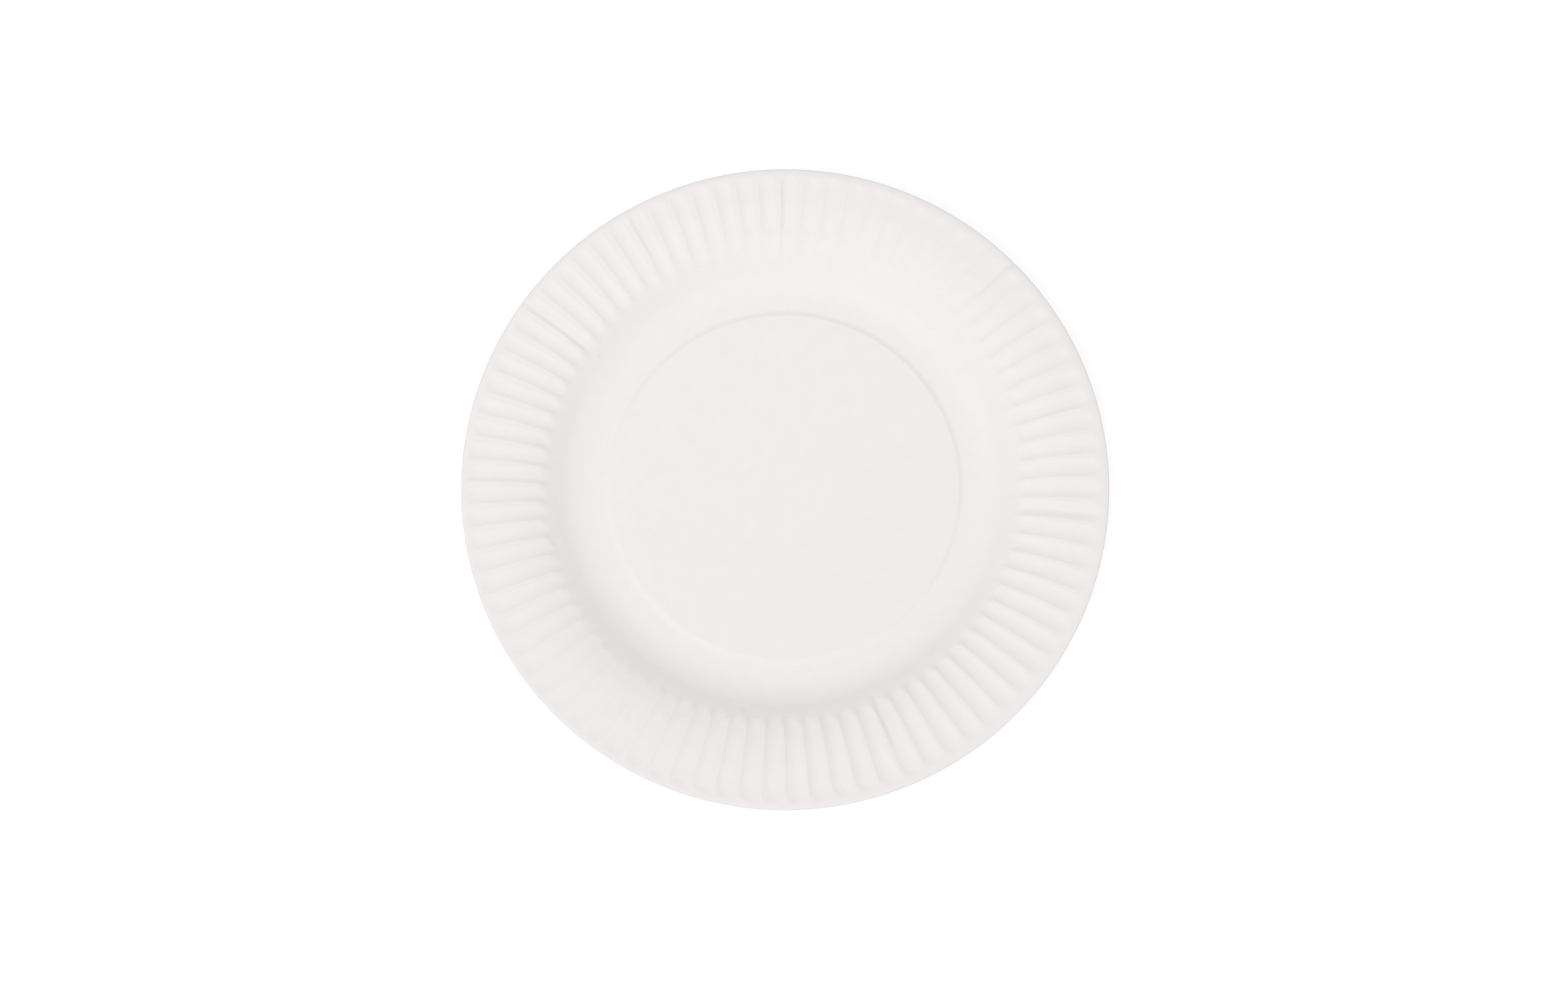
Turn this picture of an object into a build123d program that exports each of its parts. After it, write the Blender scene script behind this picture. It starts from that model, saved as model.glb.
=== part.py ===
# A round paper plate pressed from one sheet of board, with a fluted brim.
# Millimetres, +Z up, origin on the table under the middle of the plate.
import os
from math import cos, pi, radians, sin, tan

from build123d import *

# Sizes over all
plate_diameter = 230.0
board_thickness = 0.4

# Raised centre panel, the step down from it, and the flat ring that the plate stands on
panel_diameter = 125.0
panel_rise = 1.2
step_angle = 25.0
step_foot_radius = 8.0
foot_width = 3.4

# Gutter and wall, from the foot up to the brim
gutter_radius = 18.0
wall_angle = 43.0
brim_inner_height = 9.2

# Brim, which slopes up and then lies flat, and the lip that turns down to the edge
brim_slope = 24.0
brim_height = 14.4
lip_width = 3.4
lip_slope = 12.0

# Flutes: ridges that widen outward, with sloping sides and ends, and narrow valleys between them
flute_count = 84
ridge_share = 0.86
ridge_height = 1.0
ridge_flank_angle = 36.0
ridge_setback = 0.5

# Radii and heights of the section, on the underside, worked outward from the panel
panel_radius = panel_diameter / 2
step_foot = panel_radius + panel_rise / tan(radians(step_angle))
wall_foot = step_foot + foot_width + gutter_radius * tan(radians(wall_angle / 2))
brim_start = wall_foot + brim_inner_height / tan(radians(wall_angle))
slope = radians(brim_slope)
brim_bend = brim_start + (brim_height - brim_inner_height) / tan(slope)
edge_radius = plate_diameter / 2
lip_start = edge_radius - lip_width
edge_height = brim_height - lip_width * tan(radians(lip_slope))
flank = radians(ridge_flank_angle)


# A ridge over the whole brim, standing at a level above the brim's underside. Its foot spreads along
# two lines from the axis, lies inside the outline of the flute by trim, and is carried down by sink.
def raised_flute(level, trim, sink):
    bend = brim_bend - level * tan(slope / 2)
    inner = brim_start + ridge_setback + trim
    outer = lip_start - ridge_setback - trim
    spread = ridge_share * pi / flute_count - trim / bend
    top = brim_height + level
    start = Vector(inner * cos(spread), inner * sin(spread), top - (bend - inner) * tan(slope))
    knee = Vector(bend * cos(spread), bend * sin(spread), top)
    stop = Vector(outer * cos(spread), outer * sin(spread), top)
    crest = knee + Vector(0, -ridge_height / tan(flank), ridge_height)
    inner_flank = Plane(knee, x_dir=start - knee, z_dir=(start - knee).cross(crest - knee))
    outer_flank = Plane(knee, x_dir=stop - knee, z_dir=(crest - knee).cross(stop - knee))
    end_rise = tan(slope + flank)
    end_run = 1 / (end_rise - (knee.Z - start.Z) / (knee.X - start.X))
    stop_run = 1 / tan(flank)
    with BuildPart() as flute:
        with BuildSketch(Plane.XZ):
            with BuildLine():
                Polyline(
                    (start.X - sink * end_run, start.Z - sink * end_run * end_rise),
                    (start.X + ridge_height * end_run, start.Z + ridge_height * end_run * end_rise),
                    (knee.X, knee.Z + ridge_height),
                    (stop.X - ridge_height * stop_run, stop.Z + ridge_height),
                    (stop.X + sink * stop_run, stop.Z - sink),
                    (knee.X, knee.Z - sink),
                    close=True,
                )
            make_face()
        extrude(amount=-2 * pi * outer / flute_count)
        split(bisect_by=inner_flank, keep=Keep.BOTTOM)
        split(bisect_by=outer_flank, keep=Keep.BOTTOM)
        mirror(about=Plane.XZ)
    return flute.part


ridge = raised_flute(board_thickness, 0, board_thickness / 2)
hollow = raised_flute(0, board_thickness * tan(flank / 2), board_thickness)

# The sheet is turned from its section, then every ridge is raised and hollowed
with BuildPart() as plate:
    with BuildSketch(Plane.XZ):
        with BuildLine():
            FilletPolyline(
                (0, panel_rise),
                (panel_radius, panel_rise),
                (step_foot, 0),
                (wall_foot, 0),
                (brim_start, brim_inner_height),
                (brim_bend, brim_height),
                (lip_start, brim_height),
                (edge_radius, edge_height),
                radius=(0, step_foot_radius, gutter_radius, 0, 0, 0),
            )
            offset(amount=board_thickness, side=Side.LEFT, kind=Kind.INTERSECTION)
        make_face()
    revolve(axis=Axis.Z)
    with PolarLocations(0, flute_count):
        add(ridge)
    with PolarLocations(0, flute_count):
        add(hollow, mode=Mode.SUBTRACT)

plate.part.label = "plate"
os.makedirs("parts", exist_ok=True)
export_step(plate.part, "parts/plate.step")
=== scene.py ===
import math

import bmesh
import bpy
from mathutils import Matrix, Vector, noise


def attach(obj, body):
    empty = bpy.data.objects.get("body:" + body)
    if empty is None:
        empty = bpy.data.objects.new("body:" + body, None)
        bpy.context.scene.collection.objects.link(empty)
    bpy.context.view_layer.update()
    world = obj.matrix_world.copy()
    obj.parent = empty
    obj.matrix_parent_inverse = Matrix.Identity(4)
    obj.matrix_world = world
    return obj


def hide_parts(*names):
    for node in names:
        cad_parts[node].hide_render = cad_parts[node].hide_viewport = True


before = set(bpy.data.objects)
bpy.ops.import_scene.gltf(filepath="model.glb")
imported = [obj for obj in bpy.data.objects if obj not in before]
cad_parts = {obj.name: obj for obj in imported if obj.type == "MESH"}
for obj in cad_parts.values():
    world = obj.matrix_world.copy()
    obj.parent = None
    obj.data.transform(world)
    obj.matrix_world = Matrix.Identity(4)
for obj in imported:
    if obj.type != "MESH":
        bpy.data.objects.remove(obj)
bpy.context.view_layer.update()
mm = 0.001

bpy.context.scene.view_settings.view_transform = "Standard"


def smooth(low, high, value):
    t = min(max((value - low) / (high - low), 0.0), 1.0)
    return t * t * (3 - 2 * t)


# the pressed sheet, in mm and degrees
plateShape = {
    "board": 0.4,               # thickness of the board
    "section": [                # upper face: radius, height, length of the rounding each side, its segments
        (0, 1.6, 0, 0),
        (63.45, 1.6, 0.35, 3),
        (65.3, 0.4, 0.75, 4),
        (76.0, 0.4, 5.7, 7),
        (84.9, 9.5, 0.7, 3),
        (96.0, 14.47, 7.5, 10),
        (113.2, 14.72, 1.6, 5),
        (115.05, 13.85, 0, 0),
    ],
    "lipFlatter": (240, 0.7),   # on this side the lip turns down less, by up to this much at the edge
    "lip": (112, 115),          # radii between which it does so
    "offCentre": (-1.25, 0.4),  # the press met the blank this far from the middle of the cut edge
    "panelShare": 0.2,          # part of that shift that the panel takes
    "offFrom": (66, 84),        # the shift grows between these radii
    "offTo": (111, 115),        # and is gone at the edge
    "columns": 10,              # columns of mesh for each flute
    "longestRow": {63.2: 15.0, 78: 2.6, 85: 1.0, 116: 1.65},    # longest row of mesh up to each radius
    "weldSection": 0.05,        # points of the section closer than this are one
    "weldTurned": 0.01,         # and so are points of the turned sheet
}

fluteShape = {
    "count": 84,
    "firstCrest": 0.57,         # degrees from +X
    "height": 0.83,             # crests above the bottom of the valleys
    "hollow": 2.0,              # power of the valley's curve, round below and with an edge at the crest
    "flatTop": ((130, 0.14), (310, 0.07)),  # half width of a crest's flat top at two angles, in pitches
    "narrowing": 0.4,           # part of that width that a crest loses at its inner end
    "narrowOver": (87, 97),     # radii between which it gets its full width
    "crisp": (86, 111),         # radii between which a flat top has sharp edges
    "valleyDrop": 0.3,          # valleys cut this far into the top of the wall
    "dropFrom": (82.0, 85.0),   # radii over which the cut deepens
    "dropTo": (86.0, 94.0),     # and over which it runs out
    "start": (84.5, 86.9),      # rounded inner end of the crests
    "endRise": 0.34,            # how far a crest stands up at its inner end
    "endAt": (86.3, 1.2),       # radius where it is highest, and its half length
    "stop": ((130, 109.0), (310, 110.2)),   # where the valleys begin to end, at two angles
    "fade": 2.6,                # length of a valley's outer end
    "roundEnd": 1.4,            # how much further the middle of a valley reaches than its sides
    "pressed": [                # lightly or strongly pressed parts: angle, half width, change of depth
        (62, 24, -0.4), (125, 30, -0.28), (180, 28, -0.1), (225, 20, -0.38), (275, 18, 0.2),
    ],
    "late": [(90, 27, 6.5), (30, 35, 2.2)],     # valleys that start further out: angle, half width, shift
    "uneven": 0.14,             # how much the pressing varies from flute to flute
    "unevenSteps": (0.73, 0.03, 5.1),       # noise steps for each flute and each mm, and its layer
    "grip": (76, 83),           # between these radii the mesh gathers into the flutes
    "drift": (-0.33, -1.14),    # flutes are spread about a point this far from the middle
}

# folds where the spare paper of the rim has gathered, and small dents in the wall at the foot of some
foldShape = {
    "folds": [                  # flute, column of mesh from its crest, inner and outer radius, depth
        (3, 3, 79.5, 113, 0.15),
        (10, 1, 97.0, 115, 0.8),
        (21, -3, 90.0, 115, 0.15),
        (21, -3, 79.5, 115, 0.3),
        (28, -3, 93.0, 115, 0.25),
        (34, -3, 85.0, 115, 0.45),
        (42, -3, 85.0, 115, 0.2),
        (60, 3, 86.0, 115, 0.12),
        (68, 3, 82.5, 99.0, 0.5),
        (68, -2, 98.0, 106, -0.5),
        (68, -2, 107.0, 109, 0.4),
        (82, 4, 89.0, 112, 0.5),
    ],
    "across": (1, 0.3, -0.05),  # depth at a fold's own column of mesh and at the next two
    "innerEnd": (-1.5, 2.5),    # where a fold begins and has its full depth, from its inner radius
    "outerEnd": (-0.5, 2.5),    # where it begins to end and is gone, from its outer radius
    "dents": [(34, -3, 81.9, -0.7), (45, 3, 84.0, 0.9), (61, -3, 82.0, 0.9)],   # flute, column, radius, depth
    "dentSize": (1.0, 0.8),     # half length of a dent along the radius and across it
}


def bump(angle, middle, width):
    return math.exp(-((((angle - middle + 180) % 360 - 180) / width) ** 2))


def between(sides, degrees):    # a value that changes gently from one side of the plate to the other
    (side, one), (_, other) = sides
    return one + (other - one) * (0.5 - 0.5 * math.cos(math.radians(degrees - side)))


def flatTop(radius, degrees):   # half width of a crest's flat top, in pitches
    width = between(fluteShape["flatTop"], degrees)
    return width * (1 - fluteShape["narrowing"] * (1 - smooth(*fluteShape["narrowOver"], radius)))


# one column of mesh stands at the edge of the flat top, and the others are spread over the valley
def columnPlace(step, flat):
    half = plateShape["columns"] / 2
    place = 0.5 - (0.5 - flat) * (half - abs(step)) / (half - 1)
    return math.copysign(place, step) if step else 0.0


# crests stand at the level of the lip, and the valleys between them are pressed down
def fluteLift(radius, degrees, crest, off, flat):
    ridge = min((0.5 - abs(off)) / (0.5 - flat), 1.0) ** fluteShape["hollow"]
    number = crest % fluteShape["count"]
    perFlute, perMm, layer = fluteShape["unevenSteps"]
    depth = fluteShape["height"]
    depth *= 1 + fluteShape["uneven"] * noise.noise(Vector((number * perFlute, radius * perMm, layer)))
    highest, length = fluteShape["endAt"]
    rise = fluteShape["endRise"] * math.exp(-((radius - highest) / length) ** 2)
    pressed = 1.0
    for middle, width, change in fluteShape["pressed"]:
        pressed *= 1 + change * bump(degrees, middle, width)
    late = sum(shift * bump(degrees, middle, width) for middle, width, shift in fluteShape["late"])
    pressed *= smooth(*(place + late for place in fluteShape["start"]), radius)
    stop = between(fluteShape["stop"], degrees) + fluteShape["roundEnd"] * (0.5 - ridge)
    depth *= 1 - smooth(stop, stop + fluteShape["fade"], radius)
    drop = fluteShape["valleyDrop"] * smooth(*fluteShape["dropFrom"], radius)
    drop *= 1 - smooth(*fluteShape["dropTo"], radius)
    crestLevel = fluteShape["height"] * smooth(*fluteShape["start"], radius)
    return crestLevel + rise * pressed * ridge - (depth * pressed + drop) * (1 - ridge)


def columnOf(vert):             # number of a column of mesh, before it is moved
    degrees = math.degrees(math.atan2(vert.co.y, vert.co.x)) - fluteShape["firstCrest"]
    columns = fluteShape["count"] * plateShape["columns"]
    return round(degrees / 360 * columns) % columns


def foldLift(radius, column):   # a fold is a crease along one column of the mesh
    lift = 0.0
    columns = fluteShape["count"] * plateShape["columns"]
    for flute, step, inner, outer, depth in foldShape["folds"]:
        away = abs(column - flute * plateShape["columns"] - step) % columns
        if away < len(foldShape["across"]):
            ends = smooth(*(inner + part for part in foldShape["innerEnd"]), radius)
            ends *= 1 - smooth(*(outer + part for part in foldShape["outerEnd"]), radius)
            lift -= depth * ends * foldShape["across"][away]
    for flute, step, middle, depth in foldShape["dents"]:
        across = (column - flute * plateShape["columns"] - step) * 2 * math.pi / columns * radius
        length, width = foldShape["dentSize"]
        lift -= depth * math.exp(-((radius - middle) / length) ** 2 - (across / width) ** 2)
    return lift


# the section is turned into a sheet with rows of mesh along the radius and columns round the plate
def turnedSheet(columns):
    bm = bmesh.new()
    corners = [bm.verts.new((radius * mm, 0, height * mm)) for radius, height, *_ in plateShape["section"]]
    for pair in zip(corners, corners[1:]):
        bm.edges.new(pair)
    for corner, (*_, rounding, segments) in zip(corners, plateShape["section"]):
        if rounding:
            bmesh.ops.bevel(bm, geom=[corner], offset=rounding * mm, offset_type="OFFSET",
                            affect="VERTICES", segments=segments, profile=0.5, material=-1)
    bmesh.ops.remove_doubles(bm, verts=bm.verts[:], dist=plateShape["weldSection"] * mm)
    for edge in bm.edges[:]:
        outermost = max(vert.co.x for vert in edge.verts) / mm
        longest = next(size for limit, size in plateShape["longestRow"].items() if outermost < limit)
        cuts = math.ceil(edge.calc_length() / mm / longest) - 1
        if cuts:
            bmesh.ops.subdivide_edges(bm, edges=[edge], cuts=cuts)
    print("plate:", len(bm.verts) - 1, "rows of", columns, "columns")
    bmesh.ops.rotate(bm, verts=bm.verts[:], cent=(0, 0, 0),
                     matrix=Matrix.Rotation(math.radians(fluteShape["firstCrest"]), 3, "Z"))
    bmesh.ops.spin(bm, geom=bm.verts[:] + bm.edges[:], cent=(0, 0, 0), axis=(0, 0, 1),
                   angle=2 * math.pi, steps=columns, use_merge=True)
    bmesh.ops.remove_doubles(bm, verts=bm.verts[:], dist=plateShape["weldTurned"] * mm)
    return bm


def crestEdges(bm):             # edges of mesh along both sides of each flat top
    found = []
    low, high = fluteShape["crisp"]
    for edge in bm.edges:
        steps = [columnOf(vert) for vert in edge.verts]
        if steps[0] == steps[1] and steps[0] % plateShape["columns"] in (1, plateShape["columns"] - 1):
            if low < min(vert.co.xy.length for vert in edge.verts) / mm < high:
                found.append(edge)
    return found


def pressVert(vert):            # flutes and folds, the flatter lip and the shift of the press
    radius = vert.co.xy.length / mm
    angle = math.atan2(vert.co.y, vert.co.x)
    if radius > fluteShape["grip"][0]:
        degrees = math.degrees(angle)
        column = columnOf(vert)
        crest = round(column / plateShape["columns"])
        step = column - crest * plateShape["columns"]
        flat = flatTop(radius, degrees)
        off = columnPlace(step, flat)
        grip = smooth(*fluteShape["grip"], radius)
        angle += grip * (off - step / plateShape["columns"]) * 2 * math.pi / fluteShape["count"]
        height = vert.co.z / mm
        height += fluteLift(radius, degrees, crest, off, flat) + foldLift(radius, column)
        side, lift = plateShape["lipFlatter"]
        facing = 0.5 + 0.5 * math.cos(angle - math.radians(side))
        height += lift * facing * smooth(*plateShape["lip"], radius)
        drift = Vector(fluteShape["drift"]).dot((-math.sin(angle), math.cos(angle)))
        angle += grip * drift / radius
        vert.co = Vector((radius * math.cos(angle), radius * math.sin(angle), height)) * mm
    share = plateShape["panelShare"] + (1 - plateShape["panelShare"]) * smooth(*plateShape["offFrom"], radius)
    share *= 1 - smooth(*plateShape["offTo"], radius)
    vert.co.xy += Vector(plateShape["offCentre"]) * share * mm


def pressedSheet():
    bm = turnedSheet(fluteShape["count"] * plateShape["columns"])
    sharp = crestEdges(bm)
    for vert in bm.verts:
        pressVert(vert)
    bmesh.ops.recalc_face_normals(bm, faces=bm.faces[:])
    if sum(face.normal.z for face in bm.faces) < 0:
        bmesh.ops.reverse_faces(bm, faces=bm.faces[:])
    for face in bm.faces:
        face.smooth = True
    for edge in sharp:
        edge.smooth = False
    mesh = bpy.data.meshes.new("plate_pressed")
    bm.to_mesh(mesh)
    bm.free()
    piece = bpy.data.objects.new("plate_pressed", mesh)
    bpy.context.scene.collection.objects.link(piece)
    thick = piece.modifiers.new("board", "SOLIDIFY")
    thick.thickness = plateShape["board"] * mm
    thick.offset = -1
    thick.use_even_offset = True
    print("plate:", len(mesh.polygons), "faces on the upper side")
    return piece


# materials
def linear(hexColour):
    parts = [int(hexColour[i:i + 2], 16) / 255 for i in (1, 3, 5)]
    return [p / 12.92 if p <= 0.04045 else ((p + 0.055) / 1.055) ** 2.4 for p in parts] + [1.0]


def addNode(tree, kind, settings=None, **inputs):
    node = tree.nodes.new(kind)
    for name, value in (settings or {}).items():
        setattr(node, name, value)
    for name, value in inputs.items():
        socket = node.inputs[int(name[1:])] if name[0] == "_" else node.inputs[name.replace("_", " ")]
        if isinstance(value, bpy.types.NodeSocket):
            tree.links.new(value, socket)
        else:
            socket.default_value = value
    return node


paperLook = {
    "colour": "#F1EEED",
    "shade": "#EEEBEA",         # between clumps of fibre
    "fibre": 0.6,               # mm, clumps of fibre, a little coarser than real ones so that they show
    "cloud": 5.0,               # mm, cloudiness of the sheet
    "tooth": 0.25,              # mm, tooth of the uncoated face
    "cloudShare": 0.4,          # how much of the mottle is cloud
    "mottle": (0.35, 0.65),     # noise values that give the shade and the colour
    "roughness": (0.74, 0.9),
    "fibreShare": 0.5,          # how much of the relief is fibre
    "relief": 0.02,             # mm
    "reliefStrength": 0.25,
    "ior": 1.45,
}


def uncoatedPaperboard():       # matt white board: no gloss, a faint fibre mottle and a soft tooth
    material = bpy.data.materials.new("uncoated_white_paperboard")
    material.use_nodes = True
    tree = material.node_tree
    tree.nodes.clear()
    place = addNode(tree, "ShaderNodeTexCoord").outputs["Object"]
    fibre = addNode(tree, "ShaderNodeTexNoise", Vector=place, Scale=1 / (paperLook["fibre"] * mm),
                    Detail=3.0, Roughness=0.6).outputs["Fac"]
    cloud = addNode(tree, "ShaderNodeTexNoise", Vector=place, Scale=1 / (paperLook["cloud"] * mm),
                    Detail=2.0, Roughness=0.5).outputs["Fac"]
    tooth = addNode(tree, "ShaderNodeTexNoise", Vector=place, Scale=1 / (paperLook["tooth"] * mm),
                    Detail=2.0, Roughness=0.5).outputs["Fac"]
    mottle = addNode(tree, "ShaderNodeMix", {"data_type": "FLOAT"}, _0=paperLook["cloudShare"],
                     _2=fibre, _3=cloud).outputs[0]
    low, high = paperLook["mottle"]
    tone = addNode(tree, "ShaderNodeMapRange", Value=mottle, From_Min=low, From_Max=high).outputs[0]
    colour = addNode(tree, "ShaderNodeMix", {"data_type": "RGBA"}, _0=tone,
                     _6=linear(paperLook["shade"]), _7=linear(paperLook["colour"])).outputs[2]
    low, high = paperLook["roughness"]
    rough = addNode(tree, "ShaderNodeMapRange", Value=fibre, To_Min=low, To_Max=high).outputs[0]
    relief = addNode(tree, "ShaderNodeMix", {"data_type": "FLOAT"}, _0=paperLook["fibreShare"],
                     _2=tooth, _3=fibre).outputs[0]
    normal = addNode(tree, "ShaderNodeBump", Strength=paperLook["reliefStrength"],
                     Distance=paperLook["relief"] * mm, Height=relief).outputs[0]
    shader = addNode(tree, "ShaderNodeBsdfPrincipled", Base_Color=colour, Roughness=rough,
                     IOR=paperLook["ior"], Normal=normal)
    addNode(tree, "ShaderNodeOutputMaterial", Surface=shader.outputs[0])
    return material


plate = pressedSheet()
plate.data.materials.append(uncoatedPaperboard())
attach(plate, "root")
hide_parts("plate")
print("plate: material on")


# floor, light and camera
studio = {
    "floorSize": 6.0,           # m
    "floor": "#ECECEC",
    "floorDim": (0.36, 0.36, 0.36, 1),      # how much of the shadow the seen floor shows
    "floorGlow": 0.72,          # light of its own that makes it white
    "ambient": 0.708,           # even light from all round
    "background": 1.0,          # and how bright it looks behind the plate
    "key": 0.75,                # soft sun from the lower left of the picture
    "keyFrom": (242, 57),       # its azimuth and elevation in degrees
    "keySpread": 40,
    "softbox": 0.13,            # watts, low overhead, so that the middle of the plate is a little lighter
    "softboxAt": (-50, 40, 350),            # mm
    "softboxAcross": 320,
}
white = (1, 1, 1, 1)


def behindPlate(tree):          # rays that see the white background as it is
    path = addNode(tree, "ShaderNodeLightPath").outputs
    seen = addNode(tree, "ShaderNodeMath", {"operation": "MAXIMUM"},
                   _0=path["Is Camera Ray"], _1=path["Is Glossy Ray"]).outputs[0]
    return addNode(tree, "ShaderNodeMath", {"operation": "MAXIMUM"},
                   _0=seen, _1=path["Is Transmission Ray"]).outputs[0]


def whiteFloor():               # pale matt sweep that looks white and still takes the shadow
    bm = bmesh.new()
    bmesh.ops.create_grid(bm, x_segments=1, y_segments=1, size=studio["floorSize"] / 2)
    mesh = bpy.data.meshes.new("floor")
    bm.to_mesh(mesh)
    bm.free()
    floor = bpy.data.objects.new("floor", mesh)
    bpy.context.scene.collection.objects.link(floor)
    material = bpy.data.materials.new("matt_white_sweep")
    material.use_nodes = True
    tree = material.node_tree
    tree.nodes.clear()
    plain = addNode(tree, "ShaderNodeBsdfDiffuse", Color=linear(studio["floor"])).outputs[0]
    dim = addNode(tree, "ShaderNodeBsdfDiffuse", Color=studio["floorDim"]).outputs[0]
    glow = addNode(tree, "ShaderNodeEmission", Color=white, Strength=studio["floorGlow"]).outputs[0]
    shown = addNode(tree, "ShaderNodeAddShader", _0=dim, _1=glow).outputs[0]
    surface = addNode(tree, "ShaderNodeMixShader", _0=behindPlate(tree), _1=plain, _2=shown).outputs[0]
    addNode(tree, "ShaderNodeOutputMaterial", Surface=surface)
    mesh.materials.append(material)


def softLight():
    world = bpy.data.worlds.new("soft_studio")
    world.use_nodes = True
    bpy.context.scene.world = world
    tree = world.node_tree
    tree.nodes.clear()
    strength = addNode(tree, "ShaderNodeMix", {"data_type": "FLOAT"}, _0=behindPlate(tree),
                       _2=studio["ambient"], _3=studio["background"]).outputs[0]
    light = addNode(tree, "ShaderNodeBackground", Color=white, Strength=strength).outputs[0]
    addNode(tree, "ShaderNodeOutputWorld", Surface=light)
    sun = bpy.data.lights.new("key", "SUN")
    sun.energy = studio["key"]
    sun.angle = math.radians(studio["keySpread"])
    around, above = (math.radians(part) for part in studio["keyFrom"])
    level = math.cos(above)
    toward = Vector((math.cos(around) * level, math.sin(around) * level, math.sin(above)))
    key = bpy.data.objects.new("key", sun)
    key.rotation_euler = toward.to_track_quat("Z", "Y").to_euler()
    box = bpy.data.lights.new("softbox", "AREA")
    box.shape = "DISK"
    box.size = studio["softboxAcross"] * mm
    box.energy = studio["softbox"]
    overhead = bpy.data.objects.new("softbox", box)
    overhead.location = Vector(studio["softboxAt"]) * mm
    overhead.visible_camera = False
    for lamp in (key, overhead):
        bpy.context.scene.collection.objects.link(lamp)


photoView = {
    "imageWidth": 2408,
    "plateAcross": 994.4,       # pixels of the photograph that the plate spans at the aim's distance
    "plateDiameter": 230.0,     # mm
    "distance": 500,            # mm from the middle of the brim
    "azimuth": -88,             # the camera stands this way from straight above
    "tilt": 8.2,
    "aim": (-0.35, -5.12, 14.6),            # mm, the point in the middle of the picture
    "sensor": 36,               # mm
    "nearest": 10,              # mm
}


def photoCamera():
    view = photoView
    lens = bpy.data.cameras.new("photo")
    lens.sensor_fit = "HORIZONTAL"
    lens.sensor_width = view["sensor"]
    across = view["plateDiameter"] * view["imageWidth"] / view["plateAcross"]
    lens.lens = view["sensor"] * view["distance"] / across
    lens.clip_start = view["nearest"] * mm
    camera = bpy.data.objects.new("photo", lens)
    azimuth, tilt = math.radians(view["azimuth"]), math.radians(view["tilt"])
    lean = math.sin(tilt)
    back = Vector((math.cos(azimuth) * lean, math.sin(azimuth) * lean, math.cos(tilt)))
    right = Vector((0, 1, 0)).cross(back).normalized()
    turn = Matrix((right, back.cross(right), back)).transposed()
    place = (Vector(view["aim"]) + back * view["distance"]) * mm
    camera.matrix_world = Matrix.Translation(place) @ turn.to_4x4()
    bpy.context.scene.collection.objects.link(camera)
    bpy.context.scene.camera = camera


whiteFloor()
softLight()
photoCamera()
print("studio: floor, light and camera set")

bpy.context.view_layer.update()
